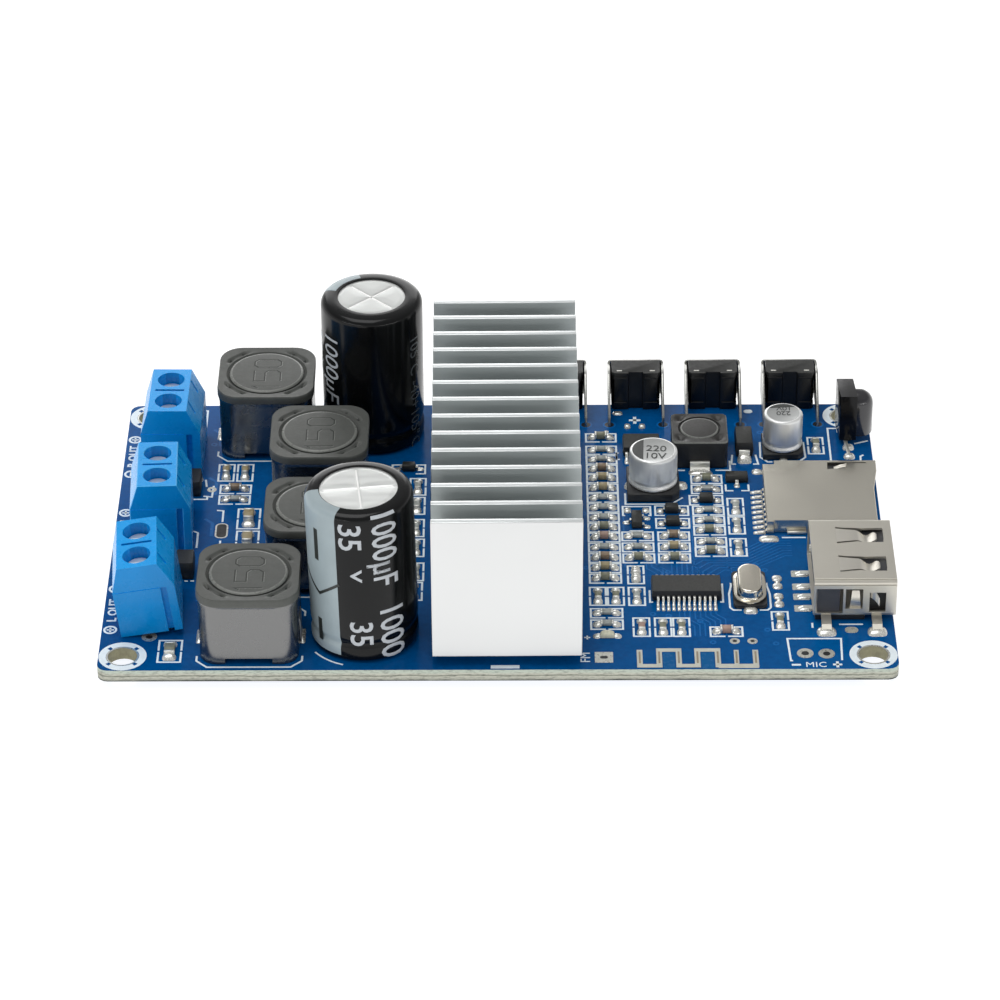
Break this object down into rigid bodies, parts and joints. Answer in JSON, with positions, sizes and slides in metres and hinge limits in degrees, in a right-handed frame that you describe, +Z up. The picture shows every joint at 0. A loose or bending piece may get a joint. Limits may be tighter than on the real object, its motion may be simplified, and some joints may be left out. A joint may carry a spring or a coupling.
{
  "type": "audio amplifier board",
  "caption": "Blue audio amplifier circuit board with screw terminals, filter inductors, upright capacitors, a finned heatsink, push buttons, and USB and memory card sockets.",
  "frame": {"origin": "centre of the board's underside, midway between its edges", "axes": "+X along the long edge towards the USB and card sockets, +Y towards the push buttons, +Z up from the component side"},
  "size_m": [0.0964, 0.0637, 0.0241],
  "materials": {
    "board_blue": "blue solder mask",
    "aluminium_plain": "plain extruded and sawn",
    "aluminium_can": "drawn, bright",
    "terminal_blue": "moulded, satin",
    "screw_steel": "plated",
    "clamp_steel": "plated",
    "contact_tin": "tinned",
    "ferrite_grey": "moulded ferrite, satin",
    "sleeve_black": "shrunk sleeve",
    "chip_black": "moulded, dull",
    "thermal_pad": "soft pad",
    "switch_black": "moulded",
    "bracket_steel": "tinned sheet",
    "shell_nickel": "nickel plated",
    "socket_black": "moulded",
    "led_body": "clear resin"
  },
  "bodies": {
    "board": {"circuit_board": "board_blue", "heatsink": "aluminium_plain", "amplifier_chip": "chip_black", "thermal_pad": "thermal_pad", "inductor_1": "ferrite_grey", "inductor_2": "ferrite_grey", "inductor_3": "ferrite_grey", "inductor_4": "ferrite_grey", "capacitor_1": "sleeve_black", "capacitor_2": "sleeve_black", "terminal_housing_1": "terminal_blue", "terminal_housing_2": "terminal_blue", "terminal_housing_3": "terminal_blue", "terminal_contact_1": "contact_tin", "terminal_contact_2": "contact_tin", "terminal_contact_3": "contact_tin", "terminal_contact_4": "contact_tin", "terminal_contact_5": "contact_tin", "terminal_contact_6": "contact_tin", "switch_body_1": "switch_black", "switch_body_2": "switch_black", "switch_body_3": "switch_black", "switch_body_4": "switch_black", "switch_bracket_1": "bracket_steel", "switch_bracket_2": "bracket_steel", "switch_bracket_3": "bracket_steel", "switch_bracket_4": "bracket_steel", "usb_shell": "shell_nickel", "usb_insulator": "socket_black", "card_socket_shell": "shell_nickel", "card_socket_base": "socket_black", "ir_receiver": "chip_black", "smd_capacitor_can_1": "aluminium_can", "smd_capacitor_can_2": "aluminium_can", "smd_capacitor_base_1": "socket_black", "smd_capacitor_base_2": "socket_black", "power_inductor": "ferrite_grey", "crystal_can": "shell_nickel", "crystal_base": "socket_black", "decoder_chip": "chip_black", "regulator_chip": "chip_black", "power_diode": "chip_black", "status_led": "led_body"},
    "screw_1": {"terminal_screw_1": "screw_steel"},
    "clamp_1": {"wire_clamp_1": "clamp_steel"},
    "screw_2": {"terminal_screw_2": "screw_steel"},
    "clamp_2": {"wire_clamp_2": "clamp_steel"},
    "screw_3": {"terminal_screw_3": "screw_steel"},
    "clamp_3": {"wire_clamp_3": "clamp_steel"},
    "screw_4": {"terminal_screw_4": "screw_steel"},
    "clamp_4": {"wire_clamp_4": "clamp_steel"},
    "screw_5": {"terminal_screw_5": "screw_steel"},
    "clamp_5": {"wire_clamp_5": "clamp_steel"},
    "screw_6": {"terminal_screw_6": "screw_steel"},
    "clamp_6": {"wire_clamp_6": "clamp_steel"},
    "button_1": {"switch_button_1": "switch_black"},
    "button_2": {"switch_button_2": "switch_black"},
    "button_3": {"switch_button_3": "switch_black"},
    "button_4": {"switch_button_4": "switch_black"}
  },
  "joints": [
    {"name": "screw_1_turn", "type": "hinge", "parent": "board", "child": "screw_1", "pos_m": [-0.04195, 0.01509, 0.00165], "axis": [0, 0, 1], "range_deg": [-1440, 0]},
    {"name": "clamp_1_rise", "type": "slide", "parent": "board", "child": "clamp_1", "axis": [0, 0, 1], "range_m": [0, 0.002]},
    {"name": "screw_2_turn", "type": "hinge", "parent": "board", "child": "screw_2", "pos_m": [-0.04189, 0.02017, 0.00165], "axis": [0, 0, 1], "range_deg": [-1440, 0]},
    {"name": "clamp_2_rise", "type": "slide", "parent": "board", "child": "clamp_2", "axis": [0, 0, 1], "range_m": [0, 0.002]},
    {"name": "screw_3_turn", "type": "hinge", "parent": "board", "child": "screw_3", "pos_m": [-0.04224, -0.00224, 0.00165], "axis": [0, 0, 1], "range_deg": [-1440, 0]},
    {"name": "clamp_3_rise", "type": "slide", "parent": "board", "child": "clamp_3", "axis": [0, 0, 1], "range_m": [0, 0.002]},
    {"name": "screw_4_turn", "type": "hinge", "parent": "board", "child": "screw_4", "pos_m": [-0.04248, 0.00284, 0.00165], "axis": [0, 0, 1], "range_deg": [-1440, 0]},
    {"name": "clamp_4_rise", "type": "slide", "parent": "board", "child": "clamp_4", "axis": [0, 0, 1], "range_m": [0, 0.002]},
    {"name": "screw_5_turn", "type": "hinge", "parent": "board", "child": "screw_5", "pos_m": [-0.04231, -0.02031, 0.00215], "axis": [-0.1167, -0.0288, 0.9927], "range_deg": [-1440, 0]},
    {"name": "clamp_5_rise", "type": "slide", "parent": "board", "child": "clamp_5", "axis": [-0.1167, -0.0288, 0.9927], "range_m": [0, 0.002]},
    {"name": "screw_6_turn", "type": "hinge", "parent": "board", "child": "screw_6", "pos_m": [-0.04265, -0.01525, 0.00225], "axis": [-0.1167, -0.0288, 0.9927], "range_deg": [-1440, 0]},
    {"name": "clamp_6_rise", "type": "slide", "parent": "board", "child": "clamp_6", "axis": [-0.1167, -0.0288, 0.9927], "range_m": [0, 0.002]},
    {"name": "button_1_press", "type": "slide", "parent": "board", "child": "button_1", "axis": [0, -1, 0], "range_m": [0, 0.00025], "stiffness_N_per_m": 1000},
    {"name": "button_2_press", "type": "slide", "parent": "board", "child": "button_2", "axis": [0, -1, 0], "range_m": [0, 0.00025], "stiffness_N_per_m": 1000},
    {"name": "button_3_press", "type": "slide", "parent": "board", "child": "button_3", "axis": [0, -1, 0], "range_m": [0, 0.00025], "stiffness_N_per_m": 1000},
    {"name": "button_4_press", "type": "slide", "parent": "board", "child": "button_4", "axis": [0, -1, 0], "range_m": [0, 0.00025], "stiffness_N_per_m": 1000}
  ],
  "couplings": [
    {"joint": "screw_1_turn", "follows": "clamp_1_rise", "rad_per_m": -12566},
    {"joint": "screw_2_turn", "follows": "clamp_2_rise", "rad_per_m": -12566},
    {"joint": "screw_3_turn", "follows": "clamp_3_rise", "rad_per_m": -12566},
    {"joint": "screw_4_turn", "follows": "clamp_4_rise", "rad_per_m": -12566},
    {"joint": "screw_5_turn", "follows": "clamp_5_rise", "rad_per_m": -12566},
    {"joint": "screw_6_turn", "follows": "clamp_6_rise", "rad_per_m": -12566}
  ]
}
